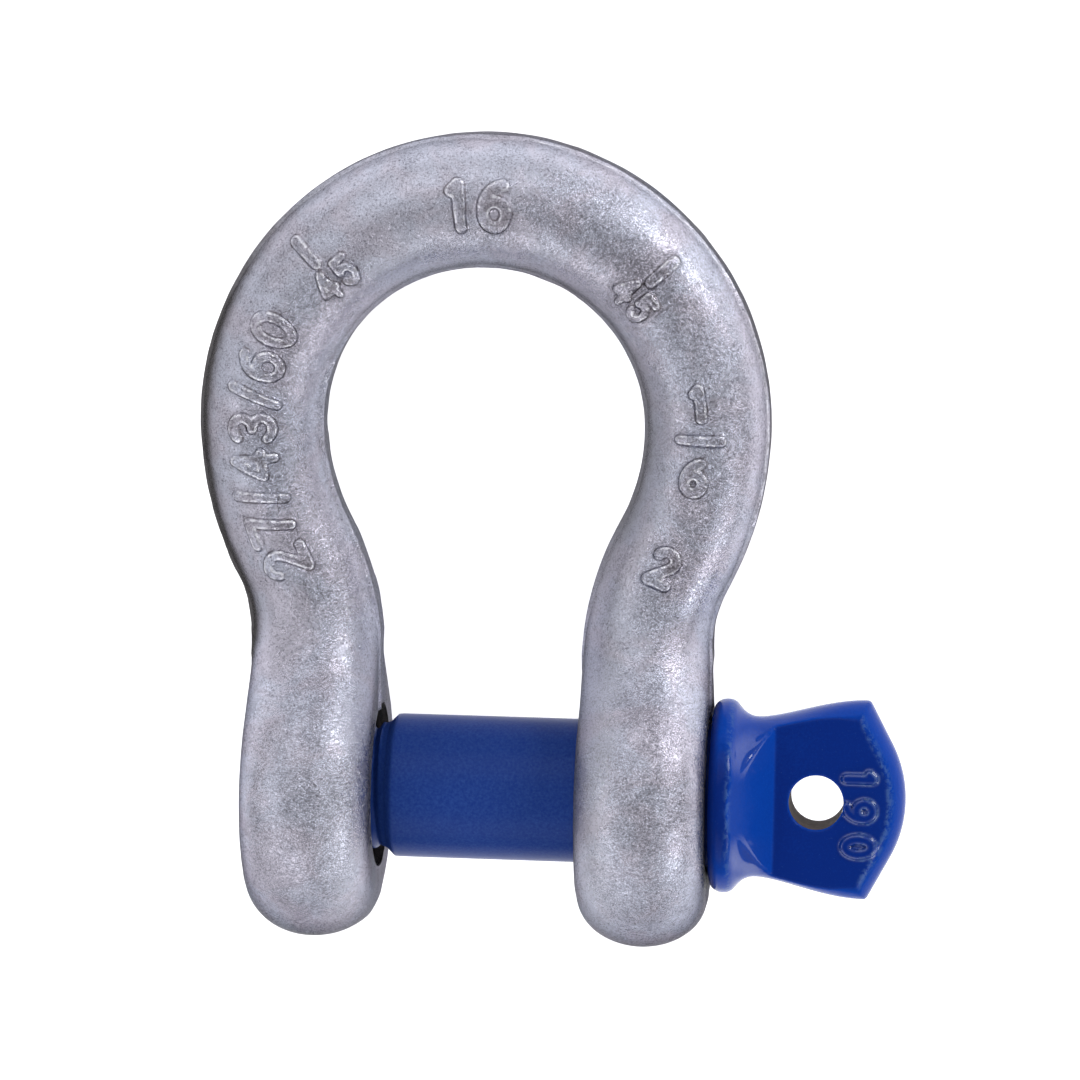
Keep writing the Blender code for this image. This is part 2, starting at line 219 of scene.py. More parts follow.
class StudioSettings(bpy.types.PropertyGroup):
    """Camera and light."""

    lens: FloatProperty(name="Lens", description="Focal length", default=173.33, unit="CAMERA")
    distance: length("Distance", "From the camera to the pin", 693.65)
    aim_x: length("Aim across", "How far the view's centre lies right of the bow's centre", 7.837)
    aim_y: length("Aim along", "How far the view's centre lies above the pin", 32.98)
    yaw: turn_setting("Yaw", "Camera's turn towards the eye of the pin", 5.2)
    pitch: turn_setting("Pitch", "Camera's turn towards the crown", 9.5)
    roll: turn_setting("Roll", "Camera's roll", 0.768)
    low_light: share_setting("Low light", "Light from near the table's edge", 0.22, 5.0)
    ambient: share_setting("Ambient", "Light from the sides", 0.50, 5.0)
    overhead: share_setting("Overhead", "Light from straight above", 0.42, 5.0)
    key: share_setting("Key light", "Brightness of the low soft box on the far right", 9.5, 50.0)
    right: share_setting("Right light", "Brightness of the soft box on the near right", 5.0, 50.0)
    far: share_setting("Far light", "Brightness of the soft box beyond the crown", 1.1, 50.0)
    left: share_setting("Left light", "Brightness of the soft box on the left", 1.9, 50.0)
    near: share_setting("Near light", "Brightness of the soft box on the near left", 1.35, 50.0)
    table_size: length("Table", "Width of the table", 4000.0)
    table_glow: share_setting("Table glow", "Light of the table's own where it is seen", 0.78)


SETTINGS = {
    "shackle_bow": BowSettings,
    "shackle_pin": PinSettings,
    "shackle_finish": FinishSettings,
    "shackle_studio": StudioSettings,
}


# Placing


def crown_height(bow, pin):
    """Distance from the pin's axis to the bar's centre at the crown."""
    return pin.diameter / 2 + bow.inside_length + bow.crown_bar / 2


def lying_plane(bow, pin):
    """Matrix that lays the bow's plane down where the frame has the shackle."""
    bow_low, bow_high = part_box("bow")
    pin_low, pin_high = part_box("screw_pin")
    centre = (pin_low + pin_high) / 2
    centre.x = (bow_low.x + bow_high.x) / 2
    lean = math.asin((bow.ear_diameter - bow.crown_bar) / 2 / crown_height(bow, pin))
    return Matrix.Translation(centre) @ Matrix.Rotation(-lean, 4, "X")


# Shapes and meshes


def ease(share):
    """Smooth step from 0 to 1."""
    share = np.clip(share, 0.0, 1.0)
    return share * share * (3 - 2 * share)


def mix(start, end, share):
    """Value between two ends, by its share of the way."""
    return start + (end - start) * share


def rounded(past_flat):
    """Share of the full height left in a rounded edge, past its flat."""
    return np.sqrt(1 - np.clip(past_flat, 0.0, 1.0) ** 2)


def add_object(name, data):
    """Put an object with this mesh, lamp or camera into the scene."""
    made = bpy.data.objects.new(name, data)
    bpy.context.scene.collection.objects.link(made)
    return made


def body_from_rows(name, rows, first_pole, last_pole=None):
    """Mesh object through rows of points, closed at a pole, and at a second one if it is given."""
    count, points = rows.shape[:2]
    poles = [first_pole] if last_pole is None else [first_pole, last_pole]
    places = np.concatenate((rows.reshape(-1, 3), poles))
    here = np.arange(points)
    after = (here + 1) % points
    faces = []
    for row in range(count - 1):
        start = row * points
        around = (start + here, start + after, start + points + after, start + points + here)
        faces += np.stack(around, 1).tolist()
    last = (count - 1) * points
    pole = np.full(points, count * points)
    faces += np.stack((after, here, pole), 1).tolist()
    if last_pole is not None:
        faces += np.stack((last + here, last + after, pole + 1), 1).tolist()
    mesh = bpy.data.meshes.new(name)
    mesh.from_pydata(places.tolist(), [], faces)
    mesh.update()
    return add_object(name, mesh)


def ring_angles(points):
    """Angles of the points in one ring."""
    return math.tau * np.arange(points) / points


def rings(along, radius, points):
    """Rings of points round X: each place has one radius, or a row of them round the axis."""
    angle = ring_angles(points)
    radius = radius.reshape(len(along), -1)
    grid = np.broadcast_arrays(along[:, None], radius * np.cos(angle), radius * np.sin(angle))
    return np.stack(grid, 2)


def turned_body(name, along, radius, points):
    """Closed body turned about X, with its radii as rings() takes them."""
    rows = rings(along, radius, points)
    return body_from_rows(name, rows, (along[0], 0, 0), (along[-1], 0, 0))


def finished(body):
    """Make a body's modifiers part of its mesh."""
    graph = bpy.context.evaluated_depsgraph_get()
    mesh = bpy.data.meshes.new_from_object(body.evaluated_get(graph))
    body.modifiers.clear()
    body.data = mesh


def combine(body, other, operation):
    """Cut the other body from this one, or add it, for good."""
    modifier = body.modifiers.new(operation.lower(), "BOOLEAN")
    modifier.operation = operation
    modifier.solver = "EXACT"
    modifier.object = other
    finished(body)
    bpy.data.objects.remove(other)


def read_points(mesh, what="co"):
    """The mesh's points, or another vector of each point, as an array."""
    found = np.empty(len(mesh.vertices) * 3)
    mesh.vertices.foreach_get(what, found)
    return found.reshape(-1, 3)


def store(mesh, name, values):
    """Keep one number for each point, for the material to read."""
    attribute = mesh.attributes.new(name, "FLOAT", "POINT")
    attribute.data.foreach_set("value", values.astype(np.float32))


def ripple(places, size, seed):
    """Smooth noise between about -1 and 1 at each place, with lumps of the given size."""
    shift = Vector((seed, 2 * seed, 3 * seed))
    found = [noise.noise(Vector(place) / size + shift) for place in places.reshape(-1, 3)]
    return np.array(found).reshape(places.shape[:-1])


# Forged marks: plain digits and bars

# Points on a round stroke
ROUND = 24


def bend(x, y, wide, high, first, last):
    """Points on part of an oval, its angles in degrees from the right, against the clock."""
    angles = np.radians(np.linspace(first, last, ROUND))
    return [(x + wide * math.cos(angle), y + high * math.sin(angle)) for angle in angles]


# Strokes of each plain digit or bar, 1 high and about 0.62 wide, centred on 0.
GLYPHS = {
    "0": [bend(0, 0, 0.29, 0.5, 0, 360)],
    "1": [[(-0.12, 0.36), (0.03, 0.5), (0.03, -0.5)]],
    "2": [bend(0, 0.22, 0.28, 0.28, 165, -35) + [(-0.28, -0.5), (0.30, -0.5)]],
    "3": [bend(0, 0.25, 0.26, 0.25, 150, -90), bend(0, -0.25, 0.30, 0.25, 90, -150)],
    "4": [[(0.16, -0.5), (0.16, 0.5), (-0.30, -0.18), (0.32, -0.18)]],
    "5": [[(0.27, 0.5), (-0.20, 0.5), (-0.23, 0.05)] + bend(0, -0.18, 0.29, 0.32, 125, -150)],
    "6": [bend(0.28, -0.1, 0.56, 0.6, 105, 180), bend(0, -0.2, 0.28, 0.3, 0, 360)],
    "7": [[(-0.28, 0.5), (0.30, 0.5), (-0.08, -0.5)]],
    "/": [[(-0.16, -0.58), (0.16, 0.58)]],
    "-": [[(-0.5, 0.0), (0.5, 0.0)]],
}
GLYPHS["9"] = [[(-x, -y) for x, y in stroke] for stroke in GLYPHS["6"]]

# Room that a character takes in its row, as a share of the height
USUAL_ROOM = 0.58
NARROW_ROOM = 0.34


def strokes(text, height, wide, loose=0.4):
    """Centrelines of a row of characters centred on 0, whose gaps are a share of the stroke."""
    room = [NARROW_ROOM if character in "/1" else USUAL_ROOM for character in text]
    steps = np.array(room) * height + wide * (1 + loose)
    places = np.cumsum(steps) - steps / 2 - sum(steps) / 2
    found = []
    for shift, character in zip(places, text):
        for stroke in GLYPHS[character]:
            found.append([(x * height + shift, y * height) for x, y in stroke])
    return found


# Millimetres between the two ends of a distance that is kept on the mesh
GAP_SPAN = 4.0


def gap_share(gap):
    """Distance to an edge as a share of GAP_SPAN, for the material: 0.5 on the edge itself."""
    return np.clip(gap / MM / GAP_SPAN + 0.5, 0.0, 1.0)


def distance_to(points, lines):
    """Distance from each point to the nearest of the lines."""
    nearest = np.full(len(points), 1.0)
    for line in lines:
        for start, end in zip(line, line[1:]):
            start = np.array(start)
            way = np.array(end) - start
            share = np.clip((points - start) @ way / (way @ way), 0, 1)
            gap = np.linalg.norm(points - start - share[:, None] * way, axis=1)
            nearest = np.minimum(nearest, gap)
    return nearest


# Bow

# Broadest flat of a section, as a share of its half width
MOST_FLAT = 0.75

# Flat share of the thread's crest and root, how much wider than its root the outer mouth is,
# and how far the cutters reach past the ears
THREAD_FLAT = 0.15
ENTRY_WIDENING = 0.3 * MM
PAST_EAR = 2 * MM


class Path:
    """Centreline of the bow's right half, from the foot of its ear to the crown."""

    def __init__(self, bow, pin):
        self.bow = bow
        self.leg_x = (bow.jaw_opening + bow.ear_thickness) / 2
        self.radius = (bow.inside_width + bow.side_bar) / 2
        self.middle_y = crown_height(bow, pin) - self.radius
        reach = bow.side_radius + bow.shoulder_radius
        self.turn = math.acos((self.leg_x + reach - self.radius) / reach)
        self.leg_top = self.middle_y - reach * math.sin(self.turn)
        self.shoulder_end = self.leg_top + bow.shoulder_radius * self.turn
        self.side_end = self.shoulder_end + bow.side_radius * self.turn
        self.crown = self.side_end + self.radius * math.pi / 2

    def at(self, run):
        """Points and outward normals at distances from the pin's axis."""
        bow = self.bow
        point = np.stack((np.full(run.shape, self.leg_x), np.minimum(run, self.leg_top)), 1)
        normal = np.stack((np.ones(run.shape), np.zeros(run.shape)), 1)
        shoulder_x = self.leg_x + bow.shoulder_radius
        side_x = self.radius - bow.side_radius
        arcs = (
            (self.leg_top, (shoulder_x, self.leg_top), -bow.shoulder_radius, 0.0),
            (self.shoulder_end, (side_x, self.middle_y), bow.side_radius, -self.turn),
            (self.side_end, (0.0, self.middle_y), self.radius, 0.0),
        )
        for start, centre, radius, first in arcs:
            angle = first + (run - start) / radius
            way = np.stack((np.cos(angle), np.sin(angle)), 1)
            past = (run > start)[:, None]
            normal = np.where(past, way, normal)
            point = np.where(past, np.array(centre) + way * radius, point)
        return point, normal

    def bar_radius(self, run):
        """Half the bar's thickness."""
        bow = self.bow
        low = (run - self.leg_top) / (self.side_end - self.leg_top)
        high = (run - self.side_end) / (self.crown - self.side_end)
        below = mix(bow.leg_bar, bow.side_bar, ease(low))
        above = mix(bow.side_bar, bow.crown_bar, ease(high))
        return np.where(run < self.side_end, below, above) / 2

    def half_width(self, run):
        """Half the breadth across the ear or bar, seen along the pin."""
        bow = self.bow
        ear = bow.ear_diameter / 2
        leg = self.bar_radius(run)
        centre = leg + bow.neck_radius
        reach = ear + bow.neck_radius
        neck_run = np.sqrt(reach**2 - centre**2)
        round_part = np.sqrt(np.maximum(ear**2 - run**2, 0))
        dip = np.maximum(bow.neck_radius**2 - (neck_run - run) ** 2, 0)
        neck = centre - np.sqrt(dip)
        inside = np.where(run <= neck_run * ear / reach, round_part, neck)
        return np.where(run >= neck_run, leg, inside)

    def section(self, run, angle):
        """Offsets across the bar and heights of the rings at these distances."""
        bow = self.bow
        ear_flat = bow.ear_diameter / 2 - bow.ear_rounding
        run = run[:, None]
        angle = angle[None, :]
        width = self.half_width(run)
        height = width * np.sin(angle)
        share = ease(run / bow.ear_blend)
        flat = np.minimum(ear_flat, MOST_FLAT * width) * (1 - share)
        thickness = mix(bow.ear_thickness / 2, self.bar_radius(run), share)
        leg = (np.abs(height) - flat) / (width - flat)
        foot = (np.hypot(run, height) - ear_flat) / bow.ear_rounding
        across = thickness * rounded(np.where(run < 0, foot, leg))
        return np.copysign(across, np.cos(angle)), height


# Each mark: text, place along the bar from the crown, place across it, height of its digits,
# width of its stroke, all in millimetres, and whether its digits stand along the bar.
BOW_MARKS = (
    ("16", -0.3, 0.1, 5.5, 1.65, False),
    ("-", -23.2, 2.8, 3.9, 1.45, True),
    ("45", -22.7, -2.2, 3.4, 1.15, False),
    ("-", 24.6, 2.3, 3.9, 1.45, True),
    ("45", 24.8, -2.7, 3.4, 1.15, False),
    ("27/43/60", -49.2, 0.4, 5.1, 1.35, False),
    ("1", 41.9, -0.4, 3.9, 1.55, True),
    ("-", 46.8, -0.5, 5.2, 1.45, True),
    ("6", 51.8, -0.8, 4.1, 1.5, True),
    ("2", 64.6, -0.7, 4.3, 1.5, True),
)

# Half the breadth of the marks' sloping edge, and how far round a mark the zinc is rougher
MARK_FLANK = 0.30 * MM
MARK_SURROUND = 3.2 * MM

# How far from a mark's middle its distances are worked out, along its row and across it
MARK_REACH = 25 * MM
MARK_ROOM = 8 * MM


# Small nibs on the flash line: place in the bow's plane and height, in millimetres.
NIBS = ((-16.0, -17.0, 0.45), (30.4, 18.3, 0.30), (-30.2, 20.5, 0.20))


# Where the zinc is bright and wrinkled: middle along the bar, middle across it, the reach
# both ways, all in millimetres, and how bright.
BRIGHT_ZONES = (
    (24, 1, 18, 9, 1.0),
    (58, 2, 20, 7, 0.8),
    (97, 3, 28, 9, 0.75),
    (-48, -4, 30, 6, 0.8),
    (-97, 0, 28, 9, 0.75),
    (0, -5, 12, 4, 0.6),
)


def bright_share(along, across, height):
    """How bright and wrinkled the zinc is at each place, from 0 to 1."""
    found = np.zeros(along.shape)
    for start, offset, reach, wide, most in BRIGHT_ZONES:
        far = ((along / MM - start) / reach) ** 2 + ((across / MM - offset) / wide) ** 2
        found = np.maximum(found, most * np.exp(-far))
    return np.where(height > 0, found, 0.5 * found)


def mark_distance(along, across):
    """Distance from each place on the bar's face to the edge of the nearest stroke."""
    nearest = np.full(along.shape, 1.0)
    for text, start, offset, high, wide, upright in BOW_MARKS:
        right = along - start * MM
        up = across - offset * MM
        if upright:
            right, up = up, -right
        near = (np.abs(right) < MARK_REACH) & (np.abs(up) < MARK_ROOM)
        found = strokes(text, high * MM, wide * MM)
        places = np.stack((right[near], up[near]), 1)
        nearest[near] = np.minimum(nearest[near], distance_to(places, found) - wide * MM / 2)
    return nearest


def row_places(reach, plain, fine):
    """Places along the bar from -reach to reach, close together where there are marks."""
    way = np.linspace(-reach, reach, 4000)
    density = np.full(way.shape, 1 / plain)
    for text, start, _, high, wide, upright in BOW_MARKS:
        points = np.array([point for line in strokes(text, high, wide) for point in line])
        half = np.abs(points[:, 1 if upright else 0]).max() + wide
        near = ease((half + 2 - np.abs(way / MM - start)) / 1.5)
        density = np.maximum(density, mix(1 / plain, 1 / fine, near))
    total = np.concatenate(([0.0], np.cumsum((density[1:] + density[:-1]) / 2 * np.diff(way))))
    return np.interp(np.linspace(0, total[-1], round(total[-1]) + 1), total, way)


def bow_rows(bow, path):
    """Rows of points round the bar, and each point's way from the crown, across and from the pin."""
    ear = bow.ear_diameter / 2
    share = np.arange(1, bow.ear_rows) / bow.ear_rows
    foot_run = -ear * np.cos(math.pi / 2 * share)
    side_way = row_places(path.crown, bow.plain_step, bow.fine_step)
    run = np.concatenate((foot_run, path.crown - np.abs(side_way), foot_run[::-1]))
    foot_along = path.crown - foot_run
    along = np.concatenate((-foot_along, side_way, foot_along[::-1]))
    front = math.pi * np.arange(bow.front_points) / bow.front_points
    back = math.pi * (1 + np.arange(bow.back_points) / bow.back_points)
    angle = np.concatenate((front, back))
    centre, outward = path.at(run)
    across, height = path.section(run, angle)
    rows = np.empty((*across.shape, 3))
    rows[:, :, :2] = centre[:, None, :] + outward[:, None, :] * across[:, :, None]
    rows[:, :, 0] *= np.where(along < 0, -1.0, 1.0)[:, None]
    rows[:, :, 2] = height
    spread = np.ones(len(angle))
    return rows, along[:, None] * spread, across, run[:, None] * spread


def outward_of(rows):
    """Outward direction at each point of the rows."""
    down = np.gradient(rows, axis=0)
    around = np.roll(rows, -1, 1) - np.roll(rows, 1, 1)
    normals = np.cross(around, down)
    return normals / (np.linalg.norm(normals, axis=2, keepdims=True) + 1e-12)


def flash_line(bow, path, rows, run):
    """Height of the trimmed flash line, with its flat top, ragged edges and nibs."""
    x, y, z = np.moveaxis(rows, 2, 0)
    half = bow.flash_width / 2
    body_share = ease((run + 6 * MM) / (14 * MM))
    ragged = 1 + 0.25 * ripple(rows * (1, 1, 0), 3.5 * MM, 9.4)
    band = ease((half * ragged - np.abs(z)) / (0.5 * MM) + 0.5)
    radius = path.bar_radius(run)
    fall = radius - np.sqrt(np.maximum(radius**2 - np.minimum(np.abs(z), half * 1.3) ** 2, 0))
    height = band * (bow.flash_relief * mix(0.5, 1.0, body_share) * ragged + fall * body_share * 0.8)
    for nib_x, nib_y, high in NIBS:
        far = np.hypot(x / MM - nib_x, y / MM - nib_y) ** 2 + (z / MM / 1.6) ** 2
        height += high * MM * np.exp(-far)
    return height


def dull_and_shaded_share(bow, height, along, across, run, sideways):
    """How dull the zinc is along the flash line, and how much shade is painted there on the bar's sides:
    least on the inside near the ears.
    """
    # The painted shade sits higher on sides that face left and lower on sides that face right
    from_middle = np.abs(height + 1.8 * MM * sideways)
    strip = ease((bow.dull_and_shaded_width / 2 - from_middle) / (5 * MM) + 0.5)
    outside = mix(0.25, 1.0, ease(np.abs(along) / (30 * MM) - 0.4))
    inside = 0.7 * ease((run - 20 * MM) / (16 * MM))
    share = mix(inside, outside, ease(across / (5 * MM) + 0.5))
    return strip * share * (1 - 0.3 * sideways)


def glint_rim_distance(bow, height, along, across):
    """Distance to the flash line's edge on the outer right side, and 2 mm more elsewhere, for the
    highlight painted along that edge.
    """
    right_side = ease(along / (6 * MM)) * ease((66 * MM - along) / (14 * MM)) * (across > 0)
    return np.abs(height) - bow.flash_width / 2 + 2 * MM * (1 - right_side)


def bore_distance(places, bow, pin):
    """Distance from each point to the mouth of the bore in its ear."""
    x, y, z = places.T
    jaw_side = x > -(bow.jaw_opening + bow.ear_thickness) / 2
    mouth = np.where(jaw_side, bow.mouth_widening, pin.thread_depth + ENTRY_WIDENING)
    wide = np.where(x < 0, bow.thread_gap - pin.shoulder + mouth, bow.bore_gap)
    return np.hypot(y, z) - pin.diameter / 2 - wide - 0.06 * MM


def make_bow(bow, pin):
    """Forged bow with its marks and flash line, and both bores."""
    path = Path(bow, pin)
    rows, along, across, run = bow_rows(bow, path)
    normals = outward_of(rows)
    broad = ripple(rows, 11 * MM, 3.1)
    small = ripple(rows, 2.6 * MM, 7.7)
    lumpy = ease(ripple(rows, 9 * MM, 5.2) * 1.5 + 0.5)
    upper = rows[:, :, 2] > 0
    gap = np.full(across.shape, 1.0)
    gap[upper] = mark_distance(along[upper], across[upper])
    mark = ease((MARK_FLANK - gap) / (2 * MARK_FLANK))
    near_mark = ease(1 - gap / MARK_SURROUND)
    raised = (
        mark * bow.relief * (1 + 0.25 * small)
        + flash_line(bow, path, rows, run)
        + broad * bow.unevenness
        + small * bow.lumps * mix(0.5, 1.6, np.maximum(lumpy, near_mark))
    )
    rows += normals * raised[:, :, None]

    foot = np.array((-path.leg_x, -bow.ear_diameter / 2, 0.0))
    body = body_from_rows("galvanised_bow", rows, foot, foot * (-1, 1, 1))
    height = rows[:, :, 2]
    for name, values, at_pole in (
        ("mark_gap", gap_share(gap), 1.0),
        ("polish", bright_share(along, across, height), 0.0),
        ("along", along, 0.0),
        ("across", across, 0.0),
        ("rim_gap", gap_share(glint_rim_distance(bow, height, along, across)), 1.0),
        # Dull zinc along the flash line, which also carries painted shade
        ("dull", dull_and_shaded_share(bow, height, along, across, run, normals[:, :, 0]), 0.0),
    ):
        store(body.data, name, np.append(values.ravel(), (at_pole, at_pole)))
    combine(body, threaded_bore(bow, pin), "DIFFERENCE")
    combine(body, plain_bore(bow, pin), "DIFFERENCE")
    # Where the painted shade inside the bores goes
    store(body.data, "bore_gap", gap_share(bore_distance(read_points(body.data), bow, pin)))
    return body


def thread_wave(along, points, pin):
    """Depth share of the thread at each place and angle: 0 at its crest, 1 at its root."""
    turns = along[:, None] / pin.pitch - ring_angles(points) / math.tau + 0.5
    wave = np.abs(2 * (turns % 1.0) - 1)
    return np.clip((wave - THREAD_FLAT) / (1 - 2 * THREAD_FLAT), 0, 1)


def threaded_bore(bow, pin):
    """Cutter for the threaded ear: the thread, its wide mouth and a broken outer edge."""
    jaw = bow.jaw_opening / 2
    outer = jaw + bow.ear_thickness
    bore = pin.diameter / 2 - pin.shoulder + bow.thread_gap
    along = np.arange(-outer - PAST_EAR, -jaw + PAST_EAR, 0.21 * MM)
    points = 112
    radius = bore + pin.thread_depth * (1 - thread_wave(along, points, pin))
    mouth = bore + bow.mouth_widening + along + jaw
    entry = bore + pin.thread_depth + ENTRY_WIDENING - outer - along
    widest = np.minimum(np.maximum(mouth, entry), bore + bow.mouth_widening)
    return turned_body("bore_cutter", along, np.maximum(radius, widest[:, None]), points)


def plain_bore(bow, pin):
    """Cutter for the plain ear's bore with its broken edges."""
    jaw = bow.jaw_opening / 2
    outer = jaw + bow.ear_thickness
    bore = pin.diameter / 2 + bow.bore_gap
    broken = bow.edge_break
    along = np.array((jaw - PAST_EAR, jaw, jaw + broken, outer - broken, outer, outer + PAST_EAR))
    radius = bore + np.array((broken, broken, 0, 0, broken, broken))
    return turned_body("bore_cutter", along, radius, 128)


# Screw pin


def collar_face(bow, pin):
    """Place along X where the collar's face begins."""
    return bow.jaw_opening / 2 + bow.ear_thickness + pin.seat_gap


def shank_rows(bow, pin):
    """Radius of the threaded end and plain shank, row by row."""
    jaw = bow.jaw_opening / 2
    shank = pin.diameter / 2
    thread = shank - pin.shoulder
    first = -jaw - bow.ear_thickness + pin.end_setback
    shank_end = -jaw + pin.shank_setback
    start = shank_end - pin.shoulder
    threaded = np.arange(first, start, 0.2 * MM)
    step = np.linspace(start, shank_end, 5)
    softened = np.array((0.25, 0.6)) * MM + shank_end
    plain = np.linspace(shank_end + 1.2 * MM, collar_face(bow, pin) + 1.2 * MM, 46)
    along = np.concatenate((threaded, step, softened, plain))
    fade = ease((start - along) / pin.run_out)[:, None]
    groove = thread_wave(along, pin.ring_points, pin) * pin.thread_depth * fade
    run_out = 0.35 * MM * np.exp(-(((along - start + 0.75 * MM) / (0.6 * MM)) ** 2))[:, None]
    core = np.interp(along, (start, shank_end, shank_end + 0.5 * MM), (thread, shank - 0.06 * MM, shank))
    radius = core[:, None] - np.maximum(groove, run_out)
    tip = thread - pin.end_chamfer + (along - first)
    radius = np.minimum(radius, np.maximum(tip, thread - pin.end_chamfer)[:, None])
    return along, radius


def eye_outline(bow, pin):
    """Half outline of the head from collar to nose tip, with the way in from its rim."""
    face = collar_face(bow, pin)
    neck_x = face + pin.neck_setback
    corner_x = face + pin.eye_shoulder
    lean = math.tan((math.pi / 2 - pin.nose_angle) / 2)
    share = np.linspace(0, 1, 70)
    flare = np.sin(math.pi / 2 * share) ** pin.flare
    rim = np.stack((mix(neck_x, corner_x, share), mix(pin.neck_diameter, pin.eye_width, flare) / 2), 1)
    inward = np.stack((-lean * share, -np.ones(share.shape)), 1)
    arc_half = pin.nose_radius * math.sin(pin.nose_angle)
    arc_depth = pin.nose_radius * (1 - math.cos(pin.nose_angle))
    nose = arc_depth + (pin.eye_width / 2 - arc_half) * math.tan(pin.nose_angle)
    centre_x = corner_x + nose - pin.nose_radius
    angle = np.linspace(pin.nose_angle, 0, 30)
    outward = np.stack((np.cos(angle), np.sin(angle)), 1)
    rim = np.concatenate((rim, (centre_x, 0) + outward * pin.nose_radius))
    inward = np.concatenate((inward, -outward))
    return rim, inward


def collar_rings(bow, pin, neck_x):
    """Rings of the rounded collar and of the hollow that runs from it into the neck."""
    face = collar_face(bow, pin)
    quarter = np.linspace(0, math.pi / 2, 14)
    collar = pin.collar_diameter / 2
    neck = pin.neck_diameter / 2
    left_x = face + pin.collar_rounding * (1 - np.cos(quarter))
    left_r = collar - pin.collar_rounding * (1 - np.sin(quarter))
    bend_over = np.radians(np.linspace(0, 55, 12))
    shoulder_x = face + pin.collar_width - pin.collar_shoulder * (1 - np.sin(bend_over))
    shoulder_r = collar - pin.collar_shoulder * (1 - np.cos(bend_over))
    hollow = np.linspace(0, 1, 22)[1:-1]
    drop = shoulder_r[-1] - neck
    power = math.tan(bend_over[-1]) * (neck_x - shoulder_x[-1]) / drop
    hollow_x = mix(shoulder_x[-1], neck_x, hollow)
    hollow_r = neck + drop * (1 - hollow) ** power
    along = np.concatenate((left_x, shoulder_x, hollow_x))
    radius = np.concatenate((left_r, shoulder_r, hollow_r))
    return rings(along, radius, pin.ring_points)


def head_rows(bow, pin):
    """Rings of the forged head: collar, neck, eye and blunt nose."""
    angle = ring_angles(pin.ring_points)
    fold = np.arcsin(np.minimum(np.abs(np.sin(angle)), 1))
    blank = pin.eye_thickness / 2 + pin.eye_crown
    plate_start = collar_face(bow, pin) + pin.eye_shoulder

    rim, inward = eye_outline(bow, pin)
    neck_x = rim[0, 0]
    share = ease((rim[:, 0] - neck_x) / (plate_start - neck_x))[:, None]
    edge = mix(rim[:, 1:], pin.eye_edge, share)
    edge_angle = math.pi / 2 * mix(1.0, 0.6, share)
    turn = math.pi / 2 * np.minimum(fold / edge_angle, 1)
    inset = edge * (1 - np.cos(turn))
    x = rim[:, :1] + inward[:, :1] * inset
    y = rim[:, 1:] + inward[:, 1:] * inset
    rest = np.clip((math.pi / 2 - fold) / np.maximum(math.pi / 2 - edge_angle, 1e-9), 0, 1)
    y = np.maximum(np.where(fold > edge_angle, y * rest, y), 0)
    z = mix(rim[:, 1:], blank, share) * np.sin(turn)
    eye = np.stack((x, np.copysign(y, np.cos(angle)), np.copysign(z, np.sin(angle))), 2)
    return np.concatenate((collar_rings(bow, pin, neck_x), eye))


def press_cutter(bow, pin, side):
    """Block that presses one flat of the eye, with its ramp up to the collar."""
    flat_x = collar_face(bow, pin) + pin.flat_setback
    flat_z = pin.eye_thickness / 2
    top_z = pin.collar_diameter
    ramp_x = flat_x - (top_z - flat_z) / math.tan(pin.ramp_angle)
    far_x = flat_x + pin.eye_shoulder
    foot_x = flat_x + pin.ramp_foot * math.tan(pin.ramp_angle / 2)
    foot = [
        (foot_x - pin.ramp_foot * math.sin(turn), flat_z + pin.ramp_foot * (1 - math.cos(turn)))
        for turn in np.linspace(0, pin.ramp_angle, 12)
    ]
    profile = ((far_x, flat_z), (far_x, top_z), (ramp_x, top_z), *foot[::-1])
    shape = bmesh.new()
    face = shape.faces.new([shape.verts.new((x, -pin.eye_width, side * z)) for x, z in profile])
    sweep = bmesh.ops.extrude_face_region(shape, geom=[face])
    moved = [item for item in sweep["geom"] if isinstance(item, bmesh.types.BMVert)]
    bmesh.ops.translate(shape, verts=moved, vec=(0, 2 * pin.eye_width, 0))
    bmesh.ops.recalc_face_normals(shape, faces=shape.faces)
    mesh = bpy.data.meshes.new("press")
    shape.to_mesh(mesh)
    shape.free()
    return add_object("press", mesh)


# The eye's digits: the row, how far it lies to the side, and half their sloping edge's breadth
EYE_MARK = "190"
EYE_MARK_SHIFT = 1.3 * MM
EYE_FLANK = 0.18 * MM


def eye_mark_gap(places, bow, pin):
    """Distance from each point of the pin to the edge of a digit on the eye's upper flat."""
    right = -places[:, 1] - EYE_MARK_SHIFT
    up = places[:, 0] - collar_face(bow, pin) - pin.mark_setback
    near = (places[:, 2] > pin.eye_thickness / 2 - 0.3 * MM) & (np.abs(up) < 5 * MM)
    gap = np.full(len(places), 1.0)
    found = strokes(EYE_MARK, pin.mark_height, pin.stroke, 1.1)
    spots = np.stack((right[near], up[near]), 1)
    gap[near] = distance_to(spots, found) - pin.stroke / 2
    return gap


def raise_eye_marks(body, bow, pin):
    """Raise the plain digits on the eye's upper flat, beside its nose."""
    places = read_points(body.data)
    mark = ease((EYE_FLANK - eye_mark_gap(places, bow, pin)) / (2 * EYE_FLANK))
    places[:, 2] += mark * pin.relief
    body.data.vertices.foreach_set("co", places.ravel())
    body.data.update()


